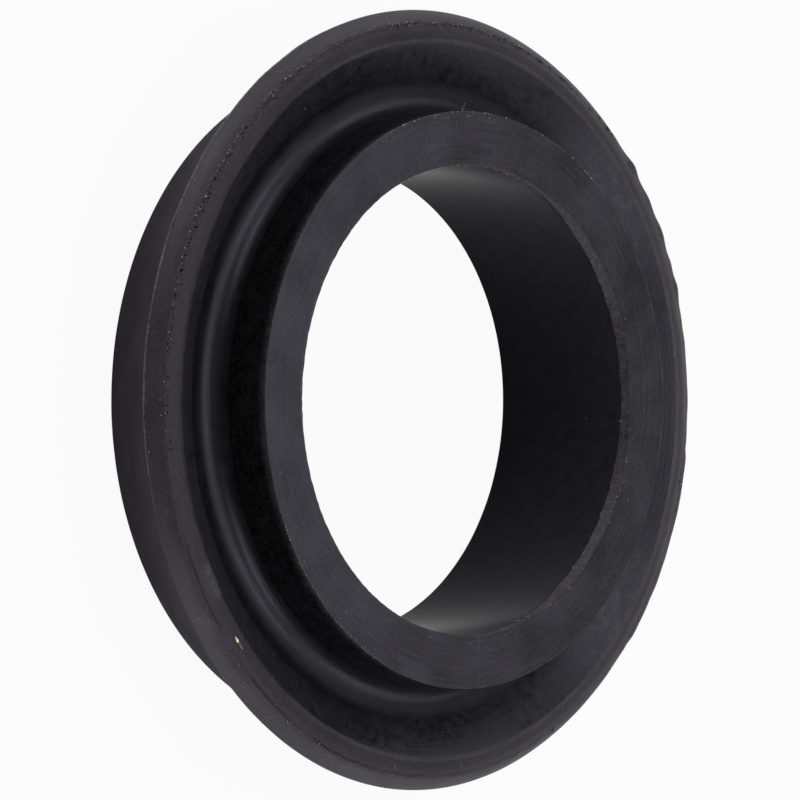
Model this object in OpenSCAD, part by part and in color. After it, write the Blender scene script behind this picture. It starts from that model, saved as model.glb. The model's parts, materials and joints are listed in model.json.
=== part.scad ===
// Hose gasket: one moulded rubber ring that seals a twist-lug air-hose coupling.
// It lies on its flat back face, with the bore upright on Z and the origin at the centre of that face.
// The ring is one half section turned about Z, and each point of that section is [radius, height].

/* [Hub] */
// Diameter of the through bore
bore_d = 20; // [14:0.1:26]
// Thickness of the hub wall around the bore
hub_wall = 2.3; // [1.2:0.05:4]
// Rise of the hub face above the crest of the lip
hub_rise = 1.85; // [0.6:0.05:4]
// Width of the trimmed edge at the bore mouth, along the radius
trim_w = 0.3; // [0.1:0.05:1]
// Depth of the trimmed edge at the bore mouth, along the bore
trim_depth = 0.45; // [0.1:0.05:1.2]

/* [Groove] */
// Width of the groove, from the hub wall to the crest of the lip
groove_w = 3.15; // [2:0.05:5]
// Depth of the groove below the crest of the lip
groove_depth = 1.25; // [0.6:0.05:2.4]
// Radius of the cove that blends the hub wall into the lip's inner slope
cove_round = 0.9; // [0.3:0.05:1.4]

/* [Lip] */
// Width of the lip's shoulder, from the crest out to the parting line
lip_w = 1.25; // [0.8:0.05:2.4]
// Rise of the crest above the parting line
lip_rise = 0.95; // [0.5:0.05:2]
// Height of the shoulder's swell above a straight line from the crest to the parting line
shoulder_swell = 0.2; // [0.05:0.01:0.35]

/* [Flank] */
// Height of the flank, from the back face to the parting line
flank_h = 4.6; // [2.5:0.1:7]
// Width of the flat back face around the bore
back_w = 4.05; // [2.5:0.05:6]
// Depth of the flank's hollow below a straight line from the back face to the parting line
flank_hollow = 0.1; // [0.05:0.05:0.6]

/* [Hidden] */
$fn = 180;

// Radii and heights, added up from the bore outward and from the back face upward
bore_r = bore_d / 2;
hub_r = bore_r + hub_wall;
crest_r = hub_r + groove_w;
rim_r = crest_r + lip_w;
crest_z = flank_h + lip_rise;
hub_z = crest_z + hub_rise;

// The uncut section stands this far beyond the rim, and the shoulder and the flank are cut back from it
blank_r = rim_r + lip_w;

// Corners of the section that the arcs below run between
back_edge = [bore_r + back_w, 0];
parting = [rim_r, flank_h];
crest = [crest_r, crest_z];

// The cove touches the hub wall, and the lip's inner slope runs from the cove up to the crest
cove_c = [hub_r + cove_round, crest_z - groove_depth + cove_round];
slope = bearing(cove_c, crest) + asin(cove_round / norm(crest - cove_c));
slope_foot = cove_c + cove_round * [sin(slope), -cos(slope)];
slope_end = slope_foot + (blank_r - slope_foot.x) * [1, tan(slope)];

// Hair's breadth by which the cove cuts into the wall and the slope that it blends
cove_bite = 0.001;

// Angle of the line from one point to another
function bearing(start, end) = atan2(end.y - start.y, end.x - start.x);

// Radius of the arc that rises by a given amount off the straight line between two points
function arc_radius(start, end, rise) = rise / 2 + pow(norm(end - start), 2) / (8 * rise);

// Centre of that arc, on the right of the way from start to end
function arc_centre(start, end, rise) =
    let (side = bearing(start, end) - 90, distance = arc_radius(start, end, rise) - rise)
    (start + end) / 2 + distance * [cos(side), sin(side)];

// What is cut away outside the rounded shoulder, between the crest and the parting line
module shoulder_cut() {
    translate(arc_centre(crest, parting, shoulder_swell))
        difference() {
            square(blank_r);
            circle(r = arc_radius(crest, parting, shoulder_swell));
        }
}

// What is cut away outside the hollow flank, between the back face and the parting line
module flank_cut() {
    translate(arc_centre(back_edge, parting, flank_hollow))
        circle(r = arc_radius(back_edge, parting, flank_hollow));
}

// What is cut away to round the foot of the groove
module cove_cut() {
    translate(cove_c)
        circle(r = cove_round + cove_bite);
}

// Half section of the ring: the straight lines of bore, hub, slope and back face, less the round cuts
module half_section() {
    difference() {
        polygon([
            [bore_r, 0],
            [blank_r, 0],
            slope_end,
            slope_foot,
            [hub_r, cove_c.y],
            [hub_r, hub_z],
            [bore_r + trim_w, hub_z],
            [bore_r, hub_z - trim_depth]
        ]);
        cove_cut();
        shoulder_cut();
        flank_cut();
    }
}

// The whole gasket, moulded in one piece of black rubber
module gasket() {
    color("#2d2d2f")
        rotate_extrude()
            half_section();
}

gasket();
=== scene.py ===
import json
import math
import random

import bpy
from mathutils import Matrix, Vector, noise


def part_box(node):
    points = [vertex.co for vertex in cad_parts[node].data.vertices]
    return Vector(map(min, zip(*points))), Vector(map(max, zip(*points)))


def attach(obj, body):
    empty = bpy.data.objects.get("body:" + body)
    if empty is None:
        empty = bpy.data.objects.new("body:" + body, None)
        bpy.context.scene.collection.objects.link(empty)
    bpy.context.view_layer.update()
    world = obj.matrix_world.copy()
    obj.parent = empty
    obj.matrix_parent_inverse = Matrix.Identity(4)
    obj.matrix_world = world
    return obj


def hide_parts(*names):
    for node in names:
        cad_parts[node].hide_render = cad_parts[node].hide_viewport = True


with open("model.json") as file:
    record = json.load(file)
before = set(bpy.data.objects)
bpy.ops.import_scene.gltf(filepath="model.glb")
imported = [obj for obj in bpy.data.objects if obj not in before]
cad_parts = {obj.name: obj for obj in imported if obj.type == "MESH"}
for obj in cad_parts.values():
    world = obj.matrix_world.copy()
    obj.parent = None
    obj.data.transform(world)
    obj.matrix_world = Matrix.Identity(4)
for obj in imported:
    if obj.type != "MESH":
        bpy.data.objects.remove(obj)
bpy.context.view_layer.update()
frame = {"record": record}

# The gasket is one ring of black rubber, pressed in a mould and then trimmed with a knife on its hub face.
# Its half section runs from the bore along the back face, up the flank, over the lip, through the groove
# and over the hub, back into the bore; a point of the section is (radius, height).
MM = 0.001
HUB_WALL = 2.3 * MM
HUB_RISE = 1.85 * MM
TRIM_W = 0.3 * MM
GROOVE_DEPTH = 1.25 * MM
COVE_ROUND = 0.9 * MM
LIP_W = 1.32 * MM
LIP_RISE = 0.95 * MM
SHOULDER_SWELL = 0.215 * MM
BACK_W = 4.05 * MM
FLANK_HOLLOW = 0.1 * MM
low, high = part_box("gasket")
mounts = {mount["name"]: mount for mount in frame["record"]["mounts"]}
bore_r = mounts["bore"]["dims"]["r_mm"] * MM
mouth_z = mounts["bore"]["dims"]["length_mm"] * MM
rim_r = (high.x - low.x) / 2
hub_z = high.z
hub_r = bore_r + HUB_WALL
crest_z = hub_z - HUB_RISE
cove_centre = Vector((hub_r + COVE_ROUND, crest_z - GROOVE_DEPTH + COVE_ROUND))
crest = Vector((rim_r - LIP_W, crest_z))
parting = Vector((rim_r, crest_z - LIP_RISE))
back_edge = Vector((bore_r + BACK_W, 0))
back_corner = Vector((bore_r, 0))
hub_edge = Vector((hub_r, hub_z))
trim_edge = Vector((bore_r + TRIM_W, hub_z))
mouth = Vector((bore_r, mouth_z))


def straight(start, end, steps):
    """Points along a straight line of the section, both ends included."""
    return [start.lerp(end, step / steps) for step in range(steps + 1)]


def bowed(start, end, rise, steps):
    """Points along an arc that stands rise off the straight line, to the right of the way along it."""
    chord = end - start
    side = Vector((chord.y, -chord.x)).normalized()
    radius = rise / 2 + chord.length_squared / (8 * rise)
    centre = (start + end) / 2 + side * (rise - radius)
    first = math.atan2(start.y - centre.y, start.x - centre.x)
    last = math.atan2(end.y - centre.y, end.x - centre.x)
    points = []
    for step in range(steps + 1):
        angle = first + (last - first) * step / steps
        points.append(centre + abs(radius) * Vector((math.cos(angle), math.sin(angle))))
    return points


def groove_foot(steps):
    """Points along the foot of the groove, from the lip's inner slope round to the hub wall."""
    reach = crest - cove_centre
    slope = math.atan2(reach.y, reach.x) + math.asin(COVE_ROUND / reach.length)
    points = []
    for step in range(steps + 1):
        angle = slope - math.pi / 2 - (slope + math.pi / 2) * step / steps
        points.append(cove_centre + COVE_ROUND * Vector((math.cos(angle), math.sin(angle))))
    return points


# The section's stretches in order: name, points, points round the ring, and how far its last corner is worn.
# The mould's seam crosses the shoulder, so the shoulder is drawn in three stretches, the middle one finest.
COARSE = 480
FINE = 960
FINEST = 2400
BELOW_SEAM = (0, 4, 7, 10, 13, 16, 19, 21, 23)
ABOVE_SEAM = (34, 36, 48)
cove = groove_foot(12)
shoulder = bowed(parting, crest, SHOULDER_SWELL, ABOVE_SEAM[-1])
stretches = [
    ("back", straight(back_corner, back_edge, 3), COARSE, 0.04 * MM),
    ("flank", bowed(back_edge, parting, -FLANK_HOLLOW, 12), COARSE, 0.05 * MM),
    ("shoulder", [shoulder[step] for step in BELOW_SEAM], COARSE, None),
    ("seam", shoulder[BELOW_SEAM[-1]:ABOVE_SEAM[0] + 1], FINEST, None),
    ("lip", [shoulder[step] for step in ABOVE_SEAM], COARSE, 0.15 * MM),
    ("slope", straight(crest, cove[0], 4), COARSE, None),
    ("cove", cove, COARSE, None),
    ("hub_wall", straight(cove[-1], hub_edge, 5), COARSE, 0.02 * MM),
    ("hub_face", straight(hub_edge, trim_edge, 10), FINE, 0.02 * MM),
    ("trim", straight(trim_edge, mouth, 2), FINE, 0.02 * MM),
    ("bore", straight(mouth, back_corner, 8), COARSE, 0.06 * MM),
]

# A worn corner is a bend of a few rows, and one more row on either side holds the surface beside it flat.
# That row lies this many times as far from the corner as the bend begins.
HOLD = 2.5
BEND_WAYS = (0.25, 0.5, 0.75)
rows = []
for number, (stretch, points, strands, worn) in enumerate(stretches):
    worn_before = stretches[number - 1][3]
    run = [point.copy() for point in points]
    if worn_before:
        onward = (points[1] - points[0]).normalized()
        run[0] = points[0] + onward * worn_before
        run.insert(1, points[0] + onward * HOLD * worn_before)
    if worn:
        back = (points[-2] - points[-1]).normalized()
        run[-1] = points[-1] + back * worn
        run.insert(-1, points[-1] + back * HOLD * worn)
    else:
        run.pop()
    rows += [(stretch, strands, point) for point in run]
    if worn:
        corner = points[-1]
        following = stretches[(number + 1) % len(stretches)][1][1]
        after = corner + (following - corner).normalized() * worn
        for way in BEND_WAYS:
            bend = run[-1].lerp(corner, way).lerp(corner.lerp(after, way), way)
            rows.append((stretch + "_corner", strands, bend))


def ripple(place, size):
    """Smooth random unevenness from about -1 to 1, whose bumps are about size across."""
    return noise.noise(place / size)


def smooth_step(value):
    """Eases from 0 to 1 while value goes from 0 to 1."""
    value = min(max(value, 0.0), 1.0)
    return value * value * (3 - 2 * value)


def apart(turn, other_turn):
    """Angle from one turn to another, from -180 to 180 degrees."""
    return (turn - other_turn + 180) % 360 - 180


def within(turn, middle, reach, fade):
    """1 on a stretch of the ring and 0 off it, fading over the last degrees of its reach."""
    return smooth_step((reach - abs(apart(turn, middle))) / fade)


# Marks of making and wear follow, each a push along the surface's outward direction.
# A turn is a place round the ring in degrees: 0 faces the camera, at 270 degrees about Z, and turns count
# clockwise as seen from above.
TURN_ZERO = 270

# Where flash was torn off the seam it left pits: the middle turn of each torn place, its spread and its pits.
SEED = 7
SEAM_R = 16.06 * MM
PIT_ASIDE = 0.06
PIT_SMALLEST = 0.035
PIT_LARGEST = 0.08
PIT_SHALLOWEST = 0.6
PIT_DEEPEST = 1.2
PIT_LIP = 0.35
PIT_LIP_AT = 1.15
PIT_LIP_WIDTH = 0.3
PIT_LIP_END = 2
seam = min(shoulder, key=lambda point: abs(point.x - SEAM_R))
torn_places = [(4, 6, 26), (22, 7, 70), (40, 7, 70), (55, 5, 36), (80, 5, 44), (94, 5, 48), (108, 6, 34),
               (126, 8, 24), (180, 25, 8), (255, 10, 3), (-38, 16, 12), (-68, 8, 8)]
draw = random.Random(SEED)
pits = []
for middle, spread, number_of_pits in torn_places:
    for _ in range(number_of_pits):
        pit_turn = draw.gauss(middle, spread) % 360
        aside = draw.gauss(0, PIT_ASIDE) * MM
        pit_r = draw.uniform(PIT_SMALLEST, PIT_LARGEST) * MM
        pits.append((pit_turn, aside, pit_r, pit_r * draw.uniform(PIT_SHALLOWEST, PIT_DEEPEST)))
pits_near = {}
for pit in pits:
    for degree in range(-1, 2):
        pits_near.setdefault((int(pit[0]) + degree) % 360, []).append(pit)


def pitted(point, turn):
    """Depth of the torn pits at a place near the seam, with the raised lip around each."""
    depth = 0.0
    across = math.copysign((point - seam).length, point.x - seam.x)
    for pit_turn, aside, pit_r, pit_depth in pits_near.get(int(turn), []):
        round_way = math.radians(apart(turn, pit_turn)) * point.x
        away = math.hypot(round_way, across - aside) / pit_r
        if away < 1:
            depth -= pit_depth * (1 - away * away) ** 2
        if away < PIT_LIP_END:
            depth += PIT_LIP * pit_depth * math.exp(-((away - PIT_LIP_AT) / PIT_LIP_WIDTH) ** 2)
    return depth


# The rubber between the pits was torn rough as well, most of all on one stretch.
TORN_MIDDLE = 34
TORN_REACH = 44
TORN_FADE = 12
TORN_WIDTH = 0.12 * MM
TORN_DEPTH = 0.045 * MM
SEAM_ROUGH = 0.006 * MM
SEAM_ROUGH_SIZE = 0.13 * MM


def torn(point, place, turn):
    """Roughness of the torn rubber along the seam."""
    share = within(turn, TORN_MIDDLE, TORN_REACH, TORN_FADE)
    share *= math.exp(-((point.x - SEAM_R) / TORN_WIDTH) ** 2)
    return (SEAM_ROUGH + share * TORN_DEPTH) * ripple(place, SEAM_ROUGH_SIZE)


# The two halves of the mould met a little out of line, so the shoulder stands higher outside the seam.
# On one stretch the step is folded into a crease, and on the far side it is wider.
SEAM_STEP = 0.028 * MM
SEAM_WIDTH = 0.14 * MM
SEAM_CLIMB = 0.55 * MM
SEAM_WANDER = 0.03 * MM
SEAM_WANDER_SIZE = 0.8 * MM
SEAM_JITTER = 0.02 * MM
SEAM_JITTER_SIZE = 0.25 * MM
STEP_UNEVEN = 0.5
STEP_UNEVEN_SIZE = 0.7 * MM
FAR_SEAM_MIDDLE = 185
FAR_SEAM_REACH = 65
FAR_SEAM_FADE = 15
FAR_SEAM_WIDTH = 0.3 * MM
FAR_SEAM_STEP = 0.022 * MM
CREASE_MIDDLE = -45
CREASE_REACH = 35
CREASE_FADE = 10
CREASE_WIDTH = -0.06 * MM
CREASE_STEP = 0.07 * MM
CREASE_SHARE = 0.6
CREASE_BREAK = 1.6
CREASE_BREAK_SIZE = 2.4 * MM


def seam_step(point, place, turn):
    """Height of the step that the mould's seam left in the shoulder."""
    wander = SEAM_WANDER * ripple(place, SEAM_WANDER_SIZE) + SEAM_JITTER * ripple(place, SEAM_JITTER_SIZE)
    crease = within(turn, CREASE_MIDDLE, CREASE_REACH, CREASE_FADE)
    crease *= smooth_step(CREASE_SHARE + CREASE_BREAK * ripple(place, CREASE_BREAK_SIZE))
    far = within(turn, FAR_SEAM_MIDDLE, FAR_SEAM_REACH, FAR_SEAM_FADE)
    inside = (SEAM_R + wander - point.x) / (SEAM_WIDTH + crease * CREASE_WIDTH + far * FAR_SEAM_WIDTH)
    climb = smooth_step((rim_r - point.x) / SEAM_CLIMB)
    height = SEAM_STEP + crease * CREASE_STEP + far * FAR_SEAM_STEP
    uneven = 1 + STEP_UNEVEN * ripple(place, STEP_UNEVEN_SIZE)
    return height * climb * (1 - smooth_step(inside + 0.5)) * uneven


# A small round blister stands on the lip.
BLISTER_TURN = -29.6
BLISTER_R = 15.62 * MM
BLISTER_SIZE = 0.26 * MM
BLISTER_RISE = 0.08 * MM


def blister(point, turn):
    """Height of the blister at one place."""
    from_middle = math.hypot(math.radians(apart(turn, BLISTER_TURN)) * point.x, point.x - BLISTER_R)
    return BLISTER_RISE * (1 - smooth_step(from_middle / BLISTER_SIZE))


# Flash was left standing on the far part of the shoulder, as lumps and, further on, as a low fringe.
# A lump is its middle turn, its half width in degrees and its height.
FLASH_R = 16.3 * MM
FLASH_WIDTH = 0.24 * MM
FRINGE_MIDDLE = 204
FRINGE_REACH = 16.5
FRINGE_FADE = 1.5
FRINGE_HEIGHT = 0.065 * MM
FRINGE_UNEVEN = 0.4
FRINGE_UNEVEN_SIZE = 0.9 * MM
flash_lumps = [
    (141.5, 1.6, 0.11 * MM),
    (147.8, 1.5, 0.045 * MM),
    (153.2, 1.9, 0.09 * MM),
    (158.6, 1.6, 0.06 * MM),
    (162.5, 1.7, 0.085 * MM),
]


def flash(point, place, turn):
    """Height of the flash that still stands beside the seam."""
    height = sum(tall * math.exp(-(apart(turn, middle) / half) ** 2) for middle, half, tall in flash_lumps)
    fringe = within(turn, FRINGE_MIDDLE, FRINGE_REACH, FRINGE_FADE)
    height += fringe * FRINGE_HEIGHT * (1 + FRINGE_UNEVEN * ripple(place, FRINGE_UNEVEN_SIZE))
    return height * math.exp(-((point.x - FLASH_R) / FLASH_WIDTH) ** 2)


# The parting line still carries a thin fin on one stretch.
FIN_MIDDLE = 32
FIN_REACH = 42
FIN_FADE = 8
FIN_HEIGHT = 0.04 * MM
FIN_SHARE = 0.7
FIN_WAVE = 0.5
FIN_WAVE_SIZE = 1.6 * MM
FIN_CHIP = 0.3
FIN_CHIP_SIZE = 0.3 * MM


def fin(place, turn):
    """Height of the thin fin on the parting line."""
    uneven = FIN_SHARE + FIN_WAVE * ripple(place, FIN_WAVE_SIZE) + FIN_CHIP * ripple(place, FIN_CHIP_SIZE)
    return within(turn, FIN_MIDDLE, FIN_REACH, FIN_FADE) * FIN_HEIGHT * uneven


# The whole skin is slightly wavy, the knife left fine rings on the hub face, and the hub's edge is ragged.
SKIN_WAVE = 0.004 * MM
SKIN_WAVE_SIZE = 1.1 * MM
KNIFE_PITCH = 0.2 * MM
KNIFE_DEPTH = 0.004 * MM
KNIFE_DRIFT = 0.01
RAGGED_DEPTH = 0.012 * MM
RAGGED_SIZE = 0.4 * MM


def push(stretch, point, place, turn):
    """How far the skin stands out from the plain section at one place."""
    out = SKIN_WAVE * ripple(place, SKIN_WAVE_SIZE)
    if stretch in ("shoulder", "seam", "lip", "lip_corner"):
        out += seam_step(point, place, turn)
        out += blister(point, turn)
        out += flash(point, place, turn)
    if stretch == "seam":
        out += pitted(point, turn) + torn(point, place, turn)
    if stretch == "flank_corner":
        out += fin(place, turn)
    if stretch == "hub_face":
        out += KNIFE_DEPTH * noise.noise(Vector((point.x / KNIFE_PITCH, turn * KNIFE_DRIFT, 0)))
    if stretch == "hub_wall_corner":
        out += RAGGED_DEPTH * ripple(place, RAGGED_SIZE)
    return out


# The knife's cut at the bore mouth is nearly full width on the far side and a mere nick elsewhere.
FULL_TRIM_MIDDLE = 183
FULL_TRIM_REACH = 64
TRIM_FADE = 14
FULL_SHARE = 0.78
NICK_SHARE = 0.3
TRIM_WAVE = 0.12
TRIM_WAVE_SIZE = 1.2 * MM
TRIM_CHIP = 0.1
TRIM_CHIP_SIZE = 0.33 * MM
bore_corner = Vector((bore_r, hub_z))


def trimmed(point, place, turn):
    """Where a point of the cut at the bore mouth lies, once the cut has its width at this turn."""
    far = within(turn, FULL_TRIM_MIDDLE, FULL_TRIM_REACH, TRIM_FADE)
    share = NICK_SHARE + (FULL_SHARE - NICK_SHARE) * far
    share *= 1 + TRIM_WAVE * ripple(place, TRIM_WAVE_SIZE)
    return bore_corner.lerp(point, min(share + TRIM_CHIP * ripple(place, TRIM_CHIP_SIZE), 1.0))


vertices = []
first_of_row = []
for number, (stretch, strands, point) in enumerate(rows):
    along = rows[(number + 1) % len(rows)][2] - rows[number - 1][2]
    outward = Vector((along.y, -along.x)).normalized()
    first_of_row.append(len(vertices))
    for strand in range(strands):
        angle = 2 * math.pi * strand / strands
        place = Vector((point.x * math.cos(angle), point.x * math.sin(angle), point.y))
        turn = (TURN_ZERO - math.degrees(angle)) % 360
        skin = point + outward * push(stretch, point, place, turn)
        if stretch in ("hub_face_corner", "trim", "trim_corner"):
            skin = trimmed(skin, place, turn)
        vertices.append((skin.x * math.cos(angle), skin.x * math.sin(angle), max(skin.y, 0.0)))

# Rows with more points join rows with fewer by faces that have several corners on the finer side.
faces = []
face_places = []
for row, (stretch, strands, point) in enumerate(rows):
    above = (row + 1) % len(rows)
    strands_above = rows[above][1]
    few = min(strands, strands_above)
    skip = strands // few
    skip_above = strands_above // few
    for strand in range(few):
        edge = [first_of_row[row] + (strand * skip + step) % strands for step in range(skip + 1)]
        edge_above = [first_of_row[above] + (strand * skip_above + step) % strands_above
                      for step in range(skip_above + 1)]
        faces.append(edge + edge_above[::-1])
        face_places.append((stretch, TURN_ZERO - 360 * strand / few))

ring_mesh = bpy.data.meshes.new("gasket_ring")
ring_mesh.from_pydata(vertices, [], faces)
ring_mesh.polygons.foreach_set("use_smooth", [True] * len(faces))
ring = bpy.data.objects.new("gasket_ring", ring_mesh)
bpy.context.scene.collection.objects.link(ring)

# The rubber's finish: grain and turned rings stand up a little, and both they and the clouds sway its tone.
GRAIN_SCALE = 6500
GRAIN_DETAIL = 3
RING_SCALE = 13000
RING_DETAIL = 2
RING_PULL = (0.03, 0.03, 1)
RELIEF_HEIGHT = 0.02 * MM
RELIEF_STRENGTH = 0.7
CLOUD_DETAIL = 6
CLOUD_ROUGHNESS = 0.62
CLOUD_LOW = 0.3
CLOUD_HIGH = 0.7
DARK_BELOW = 0.38
PALE_ABOVE = 0.68


def speckle(nodes, links, where, scale, detail):
    """A noise texture at the places that where gives."""
    texture = nodes.new("ShaderNodeTexNoise")
    texture.inputs["Scale"].default_value = scale
    texture.inputs["Detail"].default_value = detail
    links.new(where, texture.inputs["Vector"])
    return texture


def rubber(name, dark, pale, dull, shiny, specular, lines, patches=420, clouding=0.4,
           tint=(0.82, 0.78, 0.97, 1)):
    """Black rubber with cloudy patches of gloss, a fine grain and, as far as lines says, turned rings."""
    finish = bpy.data.materials.new(name)
    finish.use_nodes = True
    nodes = finish.node_tree.nodes
    links = finish.node_tree.links
    shader = nodes["Principled BSDF"]
    shader.inputs["Specular IOR Level"].default_value = specular
    shader.inputs["Specular Tint"].default_value = tint
    where = nodes.new("ShaderNodeTexCoord").outputs["Object"]
    clouds = speckle(nodes, links, where, patches, CLOUD_DETAIL)
    clouds.inputs["Roughness"].default_value = CLOUD_ROUGHNESS
    gloss = nodes.new("ShaderNodeMapRange")
    gloss.inputs["From Min"].default_value = CLOUD_LOW
    gloss.inputs["From Max"].default_value = CLOUD_HIGH
    gloss.inputs["To Min"].default_value = shiny
    gloss.inputs["To Max"].default_value = dull
    links.new(clouds.outputs["Fac"], gloss.inputs["Value"])
    links.new(gloss.outputs["Result"], shader.inputs["Roughness"])
    grain = speckle(nodes, links, where, GRAIN_SCALE, GRAIN_DETAIL)
    flat = nodes.new("ShaderNodeVectorMath")
    flat.operation = "MULTIPLY"
    flat.inputs[1].default_value = (1, 1, 0)
    links.new(where, flat.inputs[0])
    radius = nodes.new("ShaderNodeVectorMath")
    radius.operation = "LENGTH"
    links.new(flat.outputs["Vector"], radius.inputs[0])
    outward = nodes.new("ShaderNodeCombineXYZ")
    links.new(radius.outputs["Value"], outward.inputs["X"])
    round_slowly = nodes.new("ShaderNodeVectorMath")
    round_slowly.operation = "MULTIPLY_ADD"
    round_slowly.inputs[1].default_value = RING_PULL
    links.new(where, round_slowly.inputs[0])
    links.new(outward.outputs["Vector"], round_slowly.inputs[2])
    rings = speckle(nodes, links, round_slowly.outputs["Vector"], RING_SCALE, RING_DETAIL)
    relief = nodes.new("ShaderNodeMix")
    relief.inputs["Factor"].default_value = lines
    links.new(grain.outputs["Fac"], relief.inputs["A"])
    links.new(rings.outputs["Fac"], relief.inputs["B"])
    bump = nodes.new("ShaderNodeBump")
    bump.inputs["Strength"].default_value = RELIEF_STRENGTH
    bump.inputs["Distance"].default_value = RELIEF_HEIGHT
    links.new(relief.outputs["Result"], bump.inputs["Height"])
    links.new(bump.outputs["Normal"], shader.inputs["Normal"])
    patchy = nodes.new("ShaderNodeMix")
    patchy.inputs["Factor"].default_value = clouding
    links.new(relief.outputs["Result"], patchy.inputs["A"])
    links.new(clouds.outputs["Fac"], patchy.inputs["B"])
    tone = nodes.new("ShaderNodeValToRGB")
    tone.name = "tone"
    tone.color_ramp.elements[0].position = DARK_BELOW
    tone.color_ramp.elements[0].color = dark
    tone.color_ramp.elements[1].position = PALE_ABOVE
    tone.color_ramp.elements[1].color = pale
    links.new(patchy.outputs["Result"], tone.inputs["Fac"])
    links.new(tone.outputs["Color"], shader.inputs["Base Color"])
    return finish


moulded = rubber(
    "moulded_rubber", dark=(0.003, 0.0027, 0.0034, 1), pale=(0.0235, 0.0208, 0.0255, 1),
    dull=0.6, shiny=0.48, specular=0.54, lines=0.35, tint=(0.87, 0.79, 0.96, 1))
groove = rubber(
    "groove_rubber", dark=(0.0005, 0.0005, 0.0006, 1), pale=(0.022, 0.02, 0.026, 1),
    dull=0.44, shiny=0.26, specular=0.52, lines=0.45, patches=2400, clouding=0.55)
hub_side = rubber(
    "hub_side_rubber", dark=(0.0, 0.0, 0.0, 1), pale=(0.0105, 0.0102, 0.011, 1),
    dull=0.34, shiny=0.28, specular=0.12, lines=0.2, patches=1500)
knife_cut = rubber(
    "knife_cut_rubber", dark=(0.0, 0.0, 0.0, 1), pale=(0.038, 0.0356, 0.0455, 1),
    dull=0.48, shiny=0.4, specular=0.54, lines=0.5)
# Pale partly from wear and partly as a painted highlight: this finish stands in for the glint along the fin
# on the parting line.
worn_and_highlight_edge = rubber(
    "worn_and_highlight_edge_rubber", dark=(0.005, 0.005, 0.005, 1), pale=(0.12, 0.12, 0.12, 1),
    dull=0.5, shiny=0.4, specular=0.5, lines=0.1)
dull_side = rubber(
    "dull_side_rubber", dark=(0.003, 0.0012, 0.0036, 1), pale=(0.015, 0.0085, 0.0195, 1),
    dull=0.72, shiny=0.6, specular=0.05, lines=0.3)
cove_rubber = rubber(
    "cove_rubber", dark=(0.0005, 0.0005, 0.0006, 1), pale=(0.008, 0.0075, 0.0098, 1),
    dull=0.44, shiny=0.34, specular=0.58, lines=0.6, patches=1500, clouding=0.55)
worn_crest = rubber(
    "worn_crest_rubber", dark=(0.004, 0.0037, 0.0042, 1), pale=(0.052, 0.0465, 0.0505, 1),
    dull=0.6, shiny=0.48, specular=0.54, lines=0.4)
bore_side = rubber(
    "bore_side_rubber", dark=(0.011, 0.0098, 0.0136, 1), pale=(0.0245, 0.0224, 0.0298, 1),
    dull=0.16, shiny=0.1, specular=0.03, lines=0.2, patches=1500)
torn_edge = rubber(
    "torn_edge_rubber", dark=(0.004, 0.0037, 0.004, 1), pale=(0.044, 0.041, 0.043, 1),
    dull=0.62, shiny=0.5, specular=0.5, lines=0.1, patches=1500, tint=(0.9, 0.82, 0.97, 1))


def fading(finish, axis, start, end, at_start, at_end):
    """A value that goes from at_start to at_end while the place goes from start to end along an axis."""
    nodes = finish.node_tree.nodes
    links = finish.node_tree.links
    split = nodes.new("ShaderNodeSeparateXYZ")
    links.new(nodes["Texture Coordinate"].outputs["Object"], split.inputs["Vector"])
    fade = nodes.new("ShaderNodeMapRange")
    fade.inputs["From Min"].default_value = start
    fade.inputs["From Max"].default_value = end
    fade.inputs["To Min"].default_value = at_start
    fade.inputs["To Max"].default_value = at_end
    links.new(split.outputs[axis], fade.inputs["Value"])
    return fade.outputs["Result"]


def make_paler(finish, amount):
    """Adds an amount to the value that picks the rubber's tone."""
    nodes = finish.node_tree.nodes
    links = finish.node_tree.links
    picked = nodes["tone"].inputs["Fac"]
    paler = nodes.new("ShaderNodeMath")
    paler.operation = "ADD"
    links.new(picked.links[0].from_socket, paler.inputs[0])
    links.new(amount, paler.inputs[1])
    links.new(paler.outputs[0], picked)


# Painted shade and light: the hub wall is painted darkest down in the groove and paler in patches towards its
# open upper edge.
HUB_WALL_PAINTED_LIGHT = (0.045, 0.043, 0.05, 1)
HUB_WALL_PAINTED_LIGHT_REACH = 0.5 * MM
HUB_WALL_PAINTED_LIGHT_SHARE = 0.4
hub_side.node_tree.nodes["tone"].color_ramp.elements.new(1.0).color = HUB_WALL_PAINTED_LIGHT
make_paler(hub_side, fading(hub_side, "Z", hub_z - HUB_WALL_PAINTED_LIGHT_REACH, hub_z, 0.0, HUB_WALL_PAINTED_LIGHT_SHARE))

# Painted light and shade: three finishes change from side to side; the knife-cut hub face and the groove are
# painted paler on the near side and darker on the far side, and the crest's finish grows paler towards the
# far side.
for finish, near_side, far_side in ((knife_cut, 0.12, -0.03), (groove, 0.1, -0.08), (worn_crest, 0.0, 0.16)):
    make_paler(finish, fading(finish, "Y", -hub_r, hub_r, near_side, far_side))

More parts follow.
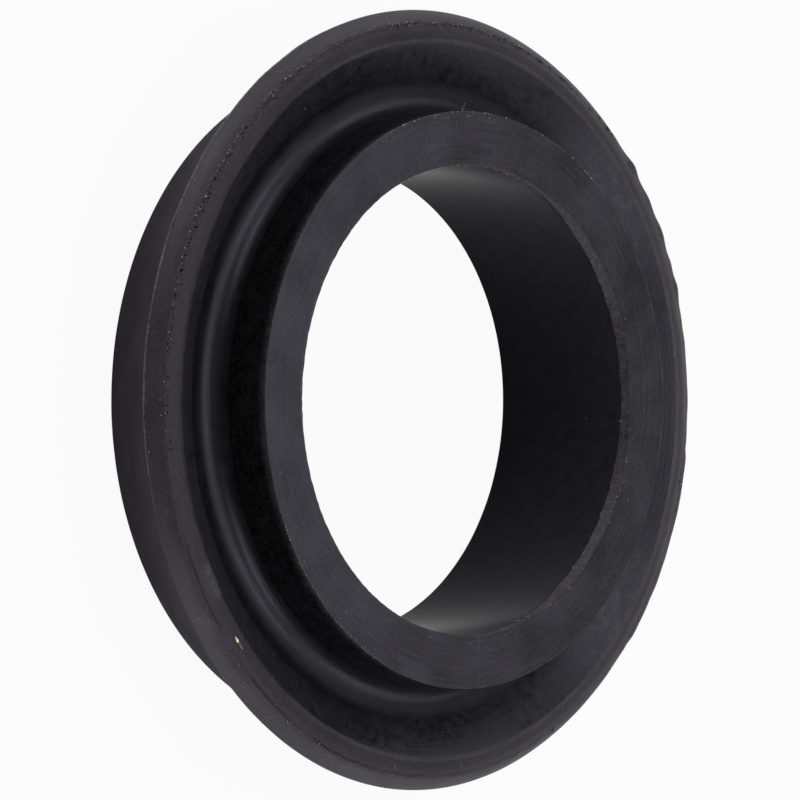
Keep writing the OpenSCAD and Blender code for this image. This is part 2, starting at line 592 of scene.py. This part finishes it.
# A pale bluish bloom of wax has come out of the rubber on one stretch of the lip.
# A spot of it is its turn, its radius on the ring and its reach.
BLOOM_COLOUR = (0.08, 0.086, 0.105, 1)
BLOOM_SHARE = 0.24
bloom_spots = [(-27.2, 15.55 * MM, 0.5 * MM), (-29.4, 15.5 * MM, 0.7 * MM), (-31.4, 15.55 * MM, 0.55 * MM)]
for finish in (moulded, worn_crest, groove):
    nodes = finish.node_tree.nodes
    links = finish.node_tree.links
    nodes["tone"].color_ramp.elements.new(1.0).color = BLOOM_COLOUR
    for bloom_turn, bloom_r, bloom_reach in bloom_spots:
        bloom_z = min(shoulder, key=lambda point: abs(point.x - bloom_r)).y
        bloom_angle = math.radians(TURN_ZERO - bloom_turn)
        away = nodes.new("ShaderNodeVectorMath")
        away.operation = "DISTANCE"
        away.inputs[1].default_value = (
            bloom_r * math.cos(bloom_angle), bloom_r * math.sin(bloom_angle), bloom_z)
        links.new(nodes["Texture Coordinate"].outputs["Object"], away.inputs[0])
        bloom = nodes.new("ShaderNodeMapRange")
        bloom.interpolation_type = "SMOOTHSTEP"
        bloom.inputs["From Max"].default_value = bloom_reach
        bloom.inputs["To Min"].default_value = BLOOM_SHARE
        bloom.inputs["To Max"].default_value = 0.0
        links.new(away.outputs["Value"], bloom.inputs["Value"])
        make_paler(finish, bloom.outputs["Result"])

# Each stretch of the section has its own finish, and one that isn't named here is plain moulded rubber.
finishes = (
    moulded, groove, hub_side, knife_cut, worn_and_highlight_edge, dull_side, cove_rubber, worn_crest, bore_side, torn_edge)
finish_of = {
    "back": dull_side, "back_corner": dull_side, "flank": dull_side, "flank_corner": groove,
    "lip_corner": worn_crest, "slope": groove, "cove": cove_rubber, "hub_wall": hub_side,
    "hub_wall_corner": knife_cut, "hub_face": knife_cut, "hub_face_corner": torn_edge, "trim": torn_edge,
    "trim_corner": bore_side, "bore": bore_side}
slot_of = {}
for number, finish in enumerate(finishes):
    ring_mesh.materials.append(finish)
    slot_of[finish.name] = number
face_slots = []
for stretch, turn in face_places:
    finish = finish_of.get(stretch, moulded)
    # The fin's faces take the pale edge finish, partly wear and partly a painted highlight.
    if stretch == "flank_corner" and abs(apart(turn, FIN_MIDDLE)) < FIN_REACH:
        finish = worn_and_highlight_edge
    face_slots.append(slot_of[finish.name])
ring_mesh.polygons.foreach_set("material_index", face_slots)
ring_mesh.update()

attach(ring, "root")
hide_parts("gasket")

# Talc from the mould and crumbs of torn flash cling to the seam, the parting line and the cut edges; the pale
# grains also stand in for glints of light on the torn rubber, as painted highlights.
# Each is a grain of a few hundredths of a millimetre, pressed into the rubber's skin.
rows_of = {}
for number, (stretch, strands, point) in enumerate(rows):
    rows_of.setdefault(stretch, []).append(number)
rows_of["hub_rim"] = rows_of["hub_face"][:4]
rows_of["mouth_rim"] = rows_of["hub_face"][-3:] + rows_of["hub_face_corner"]


def skin_at(row, turn):
    """Point of the ring's skin on one row, at one turn."""
    strands = rows[row][1]
    strand = round((TURN_ZERO - turn) % 360 / 360 * strands) % strands
    return Vector(vertices[first_of_row[row] + strand])


# The pits hold crumbs on their outer side, and the rest lie scattered over a stretch between two turns.
# A scatter is its stretch, first and last turn, number of grains, and the smallest and largest grain in mm.
CRUMBED_PITS = 0.6
CRUMB_WANDER = 0.2
CRUMB_SMALLEST = 0.012
CRUMB_LARGEST = 0.026
scatters = [
    ("flank_corner", -75, 100, 34, 0.01, 0.024),
    ("shoulder", -75, 110, 60, 0.008, 0.02),
    ("lip", -90, 270, 50, 0.008, 0.018),
    ("slope", -90, 270, 60, 0.008, 0.018),
    ("hub_wall_corner", 62, 130, 70, 0.01, 0.026),
    ("hub_wall_corner", -62, -22, 60, 0.007, 0.02),
    ("hub_rim", 64, 100, 50, 0.008, 0.02),
    ("hub_rim", -62, -20, 60, 0.006, 0.014),
    ("trim_corner", 62, 112, 26, 0.01, 0.026),
    ("trim_corner", 165, 260, 20, 0.01, 0.022),
    ("mouth_rim", 185, 250, 40, 0.007, 0.02),
    ("mouth_rim", 262, 290, 16, 0.008, 0.02),
    ("hub_face", -90, 270, 40, 0.008, 0.016),
    ("bore", 120, 240, 14, 0.01, 0.018),
]
grain_places = []
for pit_turn, aside, pit_r, pit_depth in pits:
    if draw.random() < CRUMBED_PITS:
        row = min(rows_of["seam"], key=lambda number: abs(rows[number][2].x - seam.x - aside - pit_r))
        place = skin_at(row, pit_turn + draw.gauss(0, CRUMB_WANDER))
        grain_places.append((place, draw.uniform(CRUMB_SMALLEST, CRUMB_LARGEST) * MM))
for stretch, first_turn, last_turn, count, smallest, largest in scatters:
    for _ in range(count):
        row = draw.choice(rows_of[stretch][:-1])
        turn = draw.uniform(first_turn, last_turn)
        place = skin_at(row, turn).lerp(skin_at(row + 1, turn), draw.random())
        grain_places.append((place, draw.uniform(smallest, largest) * MM))

# A grain has six tips and eight sides, and each of its tips is drawn out or in by chance.
SHORTEST_TIP = 0.6
LONGEST_TIP = 1.5
grain_tips = [Vector(tip) for tip in ((1, 0, 0), (-1, 0, 0), (0, 1, 0), (0, -1, 0), (0, 0, 1), (0, 0, -1))]
grain_sides = [(0, 2, 4), (2, 1, 4), (1, 3, 4), (3, 0, 4), (2, 0, 5), (1, 2, 5), (3, 1, 5), (0, 3, 5)]
crumb_vertices = []
crumb_faces = []
for place, size in grain_places:
    first = len(crumb_vertices)
    for tip in grain_tips:
        crumb_vertices.append(place + tip * size * draw.uniform(SHORTEST_TIP, LONGEST_TIP))
    for side in grain_sides:
        crumb_faces.append([first + corner for corner in side])
crumb_mesh = bpy.data.meshes.new("talc_crumbs_and_painted_glints")
crumb_mesh.from_pydata(crumb_vertices, [], crumb_faces)
crumbs = bpy.data.objects.new("talc_crumbs_and_painted_glints", crumb_mesh)
bpy.context.scene.collection.objects.link(crumbs)

CRUMB_DARK = (0.1, 0.1, 0.11, 1)
# Partly the white of talc and partly a painted highlight for glints on the torn rubber.
TALC_AND_GLINT_WHITE = (0.85, 0.83, 0.8, 1)
TALC_ROUGHNESS = 0.8
MOTTLE_SCALE = 2500
MOTTLE_DETAIL = 2
MOTTLE_LOW = 0.35
MOTTLE_HIGH = 0.65
talc_and_glint_finish = bpy.data.materials.new("pale_talc_and_painted_glints")
talc_and_glint_finish.use_nodes = True
nodes = talc_and_glint_finish.node_tree.nodes
links = talc_and_glint_finish.node_tree.links
shader = nodes["Principled BSDF"]
shader.inputs["Roughness"].default_value = TALC_ROUGHNESS
where = nodes.new("ShaderNodeTexCoord").outputs["Object"]
mottle = speckle(nodes, links, where, MOTTLE_SCALE, MOTTLE_DETAIL)
pale = nodes.new("ShaderNodeValToRGB")
pale.color_ramp.elements[0].position = MOTTLE_LOW
pale.color_ramp.elements[0].color = CRUMB_DARK
pale.color_ramp.elements[1].position = MOTTLE_HIGH
pale.color_ramp.elements[1].color = TALC_AND_GLINT_WHITE
links.new(mottle.outputs["Fac"], pale.inputs["Fac"])
links.new(pale.outputs["Color"], shader.inputs["Base Color"])
crumb_mesh.materials.append(talc_and_glint_finish)
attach(crumbs, "root")

# One long grain of tan grit lies on the lip, pressed into the rubber, with a brown smear of itself behind it.
# Each of the two is a long, low crystal along the lip: its turn, half length, half width and half height.
GRIT_R = 15.69 * MM
TAN = (0.82, 0.6, 0.46, 1)
BROWN = (0.16, 0.075, 0.05, 1)
GRIT_ROUGHNESS = 0.5
SHORTEST_GRIT_TIP = 0.8
LONGEST_GRIT_TIP = 1.2
upward = Vector((0, 0, 1))
grit_point = min(shoulder, key=lambda point: abs(point.x - GRIT_R))
crystals = [(-40.0, 0.2 * MM, 0.1 * MM, 0.08 * MM), (-41.2, 0.24 * MM, 0.1 * MM, 0.04 * MM)]
grit_vertices = []
grit_faces = []
for grit_turn, length, width, height in crystals:
    grit_angle = math.radians(TURN_ZERO - grit_turn)
    outward = Vector((math.cos(grit_angle), math.sin(grit_angle), 0))
    along = Vector((-outward.y, outward.x, 0))
    grit_place = grit_point.x * outward + grit_point.y * upward
    first = len(grit_vertices)
    for tip in grain_tips:
        reach = tip.x * length * along + tip.y * width * outward + tip.z * height * upward
        grit_vertices.append(grit_place + draw.uniform(SHORTEST_GRIT_TIP, LONGEST_GRIT_TIP) * reach)
    for side in grain_sides:
        grit_faces.append([first + corner for corner in side])
grit_mesh = bpy.data.meshes.new("grit_grain")
grit_mesh.from_pydata(grit_vertices, [], grit_faces)
grit = bpy.data.objects.new("grit_grain", grit_mesh)
bpy.context.scene.collection.objects.link(grit)
for grit_name, grit_colour in (("tan_grit", TAN), ("brown_smear", BROWN)):
    grit_finish = bpy.data.materials.new(grit_name)
    grit_finish.use_nodes = True
    shader = grit_finish.node_tree.nodes["Principled BSDF"]
    shader.inputs["Base Color"].default_value = grit_colour
    shader.inputs["Roughness"].default_value = GRIT_ROUGHNESS
    grit_mesh.materials.append(grit_finish)
grit_mesh.polygons.foreach_set("material_index", [0] * len(grain_sides) + [1] * len(grain_sides))
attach(grit, "root")

# One whisker of rubber was left standing by the knife on the hub's outer edge, bent over at its tip.
# It is a tapered thread, fused to the edge.
WHISKER_TURN = 88.4
WHISKER_LENGTH = 0.36 * MM
WHISKER_R = 0.02 * MM
WHISKER_SIDES = 6
WHISKER_STEPS = 8
WHISKER_RISE = 0.25
WHISKER_SWAY = 0.1
WHISKER_SWAY_PACE = 5
WHISKER_LEAN = 0.12
WHISKER_FOOT = 1.6
WHISKER_TAPER = 1.2
whisker_foot = skin_at(rows_of["hub_wall_corner"][1], WHISKER_TURN)
whisker_out = Vector((whisker_foot.x, whisker_foot.y, 0)).normalized()
whisker_aside = Vector((-whisker_out.y, whisker_out.x, 0))
whisker_vertices = []
whisker_faces = []
for step in range(WHISKER_STEPS + 1):
    way = step / WHISKER_STEPS
    bend = WHISKER_SWAY * math.sin(WHISKER_SWAY_PACE * way) - WHISKER_LEAN * way
    middle = whisker_foot + WHISKER_LENGTH * (
        way * whisker_out + bend * whisker_aside + WHISKER_RISE * way * upward)
    thick = WHISKER_R * (WHISKER_FOOT - WHISKER_TAPER * way)
    for corner in range(WHISKER_SIDES):
        angle = 2 * math.pi * corner / WHISKER_SIDES
        whisker_vertices.append(
            middle + thick * (math.cos(angle) * whisker_aside + math.sin(angle) * upward))
for step in range(WHISKER_STEPS):
    for corner in range(WHISKER_SIDES):
        here = step * WHISKER_SIDES + corner
        beside = step * WHISKER_SIDES + (corner + 1) % WHISKER_SIDES
        whisker_faces.append((here, here + WHISKER_SIDES, beside + WHISKER_SIDES, beside))
whisker_faces.append(tuple(range(WHISKER_SIDES)))
tip_ring = WHISKER_STEPS * WHISKER_SIDES
whisker_faces.append(tuple(tip_ring + corner for corner in reversed(range(WHISKER_SIDES))))
whisker_mesh = bpy.data.meshes.new("knife_whisker")
whisker_mesh.from_pydata(whisker_vertices, [], whisker_faces)
whisker = bpy.data.objects.new("knife_whisker", whisker_mesh)
bpy.context.scene.collection.objects.link(whisker)
whisker_mesh.materials.append(rubber(
    "whisker_rubber", dark=(0.06, 0.06, 0.06, 1), pale=(0.25, 0.25, 0.25, 1),
    dull=0.6, shiny=0.5, specular=0.5, lines=0.0))
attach(whisker, "root")

# The floor is a plain pale sheet under the gasket, wide enough to fill the view.
# To the eye most of it is plain white, and a part keeps its shading, so that the gasket's shadow stays on it.
FLOOR_REACH = 3.0
FLOOR_TONE = 0.6
WHITE_SEEN = 0.94
WHITE_REFLECTED = 0.75
floor_mesh = bpy.data.meshes.new("floor")
floor_mesh.from_pydata(
    [(-FLOOR_REACH, -FLOOR_REACH, 0), (FLOOR_REACH, -FLOOR_REACH, 0),
     (FLOOR_REACH, FLOOR_REACH, 0), (-FLOOR_REACH, FLOOR_REACH, 0)],
    [], [(0, 1, 2, 3)])
floor = bpy.data.objects.new("floor", floor_mesh)
bpy.context.scene.collection.objects.link(floor)
sheet_white = bpy.data.materials.new("pale_sheet")
sheet_white.use_nodes = True
nodes = sheet_white.node_tree.nodes
links = sheet_white.node_tree.links
nodes.remove(nodes["Principled BSDF"])
matt = nodes.new("ShaderNodeBsdfDiffuse")
matt.inputs["Color"].default_value = (FLOOR_TONE, FLOOR_TONE, FLOOR_TONE, 1)
glow = nodes.new("ShaderNodeEmission")
glow.inputs["Color"].default_value = (1, 1, 1, 1)
glow.inputs["Strength"].default_value = 1.0
ray = nodes.new("ShaderNodeLightPath")
mirrored = nodes.new("ShaderNodeMath")
mirrored.operation = "MAXIMUM"
links.new(ray.outputs["Is Glossy Ray"], mirrored.inputs[0])
links.new(ray.outputs["Is Transmission Ray"], mirrored.inputs[1])
white_mirrored = nodes.new("ShaderNodeMath")
white_mirrored.operation = "MULTIPLY"
white_mirrored.inputs[1].default_value = WHITE_REFLECTED
links.new(mirrored.outputs[0], white_mirrored.inputs[0])
white_share = nodes.new("ShaderNodeMath")
white_share.operation = "MULTIPLY_ADD"
white_share.inputs[1].default_value = WHITE_SEEN
links.new(ray.outputs["Is Camera Ray"], white_share.inputs[0])
links.new(white_mirrored.outputs[0], white_share.inputs[2])
blend = nodes.new("ShaderNodeMixShader")
links.new(white_share.outputs[0], blend.inputs["Fac"])
links.new(matt.outputs["BSDF"], blend.inputs[1])
links.new(glow.outputs["Emission"], blend.inputs[2])
links.new(blend.outputs["Shader"], nodes["Material Output"].inputs["Surface"])
floor_mesh.materials.append(sheet_white)

# The studio light is a dim white room with soft boxes above, behind and on both sides of the gasket.
# All of it is plain white, at a level at which a colour shows about as it is written.
ROOM_LEVEL = 0.18
room = bpy.data.worlds.new("soft_room")
room.use_nodes = True
room.node_tree.nodes["Background"].inputs["Color"].default_value = (1, 1, 1, 1)
room.node_tree.nodes["Background"].inputs["Strength"].default_value = ROOM_LEVEL
bpy.context.scene.world = room


def soft_box(name, place, width, length, level):
    """A soft box that faces the gasket; level is how bright its face looks, where 1 is white."""
    lamp = bpy.data.lights.new(name, "AREA")
    lamp.shape = "RECTANGLE"
    lamp.size = width
    lamp.size_y = length
    lamp.energy = math.pi * width * length * level
    stand = bpy.data.objects.new(name, lamp)
    stand.location = place
    stand.rotation_euler = Vector(place).to_track_quat("Z", "Y").to_euler()
    stand.visible_camera = False
    bpy.context.scene.collection.objects.link(stand)


soft_box("overhead_box", place=(0, 0.03, 0.46), width=0.18, length=0.42, level=1.9)
soft_box("rear_box", place=(0, 0.62, 0.12), width=0.6, length=0.2, level=1.5)
for side, word in ((-1, "left"), (1, "right")):
    soft_box("high_box_" + word, place=(side * 0.29, 0.0, 0.44), width=0.22, length=0.24, level=2.3)
    soft_box("front_box_" + word, place=(side * 0.53, -0.29, 0.14), width=0.36, length=0.26, level=4.4)
    soft_box("side_box_" + word, place=(side * 0.55, 0.26, 0.14), width=0.3, length=0.26, level=2.6)
    soft_box("low_box_" + word, place=(side * 0.6, 0.0, 0.1), width=0.3, length=0.18, level=0.6)
    soft_box("corner_box_" + word, place=(side * 0.4, 0.45, 0.3), width=0.25, length=0.25, level=0.8)

# The camera looks down on the gasket through a long lens and is turned on its side,
# so that the hub face points to the right of the picture, as in the photograph.
LOOK_DOWN = math.radians(44.13)
CAMERA_REACH = 28.8 * rim_r
CAMERA_LENS = 502.6
AIM_ASIDE = 2.45 * MM
SENSOR_WIDTH = 36
NEAREST_SEEN = 0.01
camera_place = CAMERA_REACH * Vector((0, -math.cos(LOOK_DOWN), math.sin(LOOK_DOWN)))
aim = AIM_ASIDE * Vector((0, math.sin(LOOK_DOWN), math.cos(LOOK_DOWN)))
backward = (camera_place - aim).normalized()
picture_up = Vector((-1, 0, 0))
picture_right = picture_up.cross(backward).normalized()
lens = bpy.data.cameras.new("camera")
lens.sensor_width = SENSOR_WIDTH
lens.lens = CAMERA_LENS
lens.clip_start = NEAREST_SEEN
camera = bpy.data.objects.new("camera", lens)
camera.matrix_world = Matrix.Translation(camera_place) @ Matrix(
    (picture_right, picture_up, backward)).transposed().to_4x4()
bpy.context.scene.collection.objects.link(camera)
bpy.context.scene.camera = camera
bpy.context.scene.view_settings.view_transform = "Standard"
